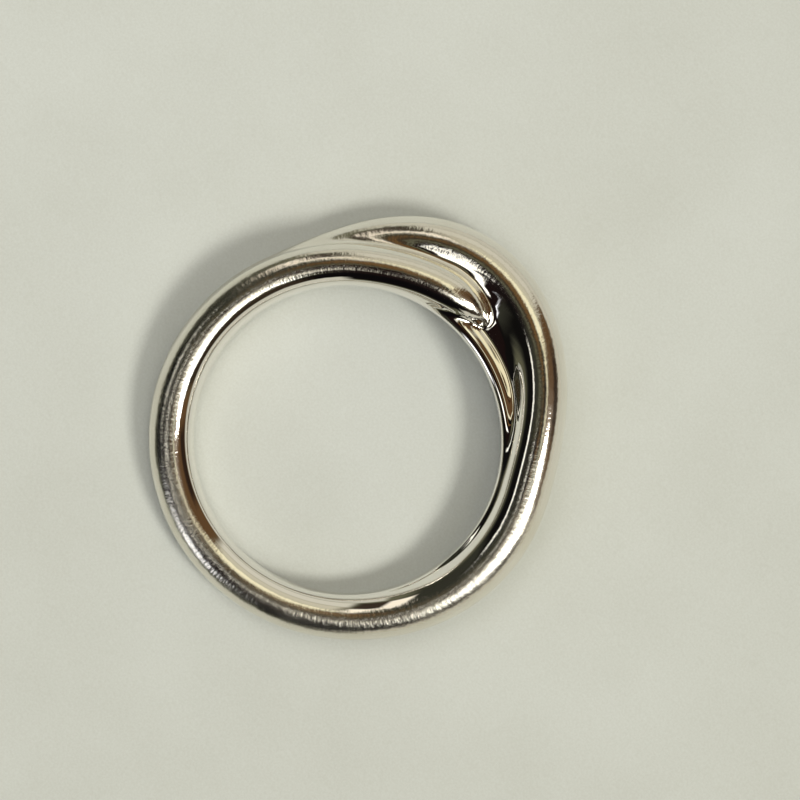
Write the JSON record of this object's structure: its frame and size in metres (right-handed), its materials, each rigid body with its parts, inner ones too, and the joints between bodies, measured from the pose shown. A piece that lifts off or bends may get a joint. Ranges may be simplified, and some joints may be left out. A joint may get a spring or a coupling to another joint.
{
  "type": "finger ring",
  "caption": "Crossover finger ring: a round shank whose ridges sweep past each other in a raised swirl at the front, cast as one piece.",
  "frame": {"origin": "centre of the finger hole, on its axis, in the ring's middle plane", "axes": "+Z along the finger hole, out of the side where the near ridge's tip shows to the left of the crest; -Y from the hole's centre to the crest of the swirl; +X completes the frame"},
  "size_m": [0.0219, 0.0239, 0.0044],
  "materials": {
    "silver": "polished cast silver, worn to fine scratches on the ridges"
  },
  "bodies": {
    "root": {"ring": "silver"}
  },
  "joints": []
}
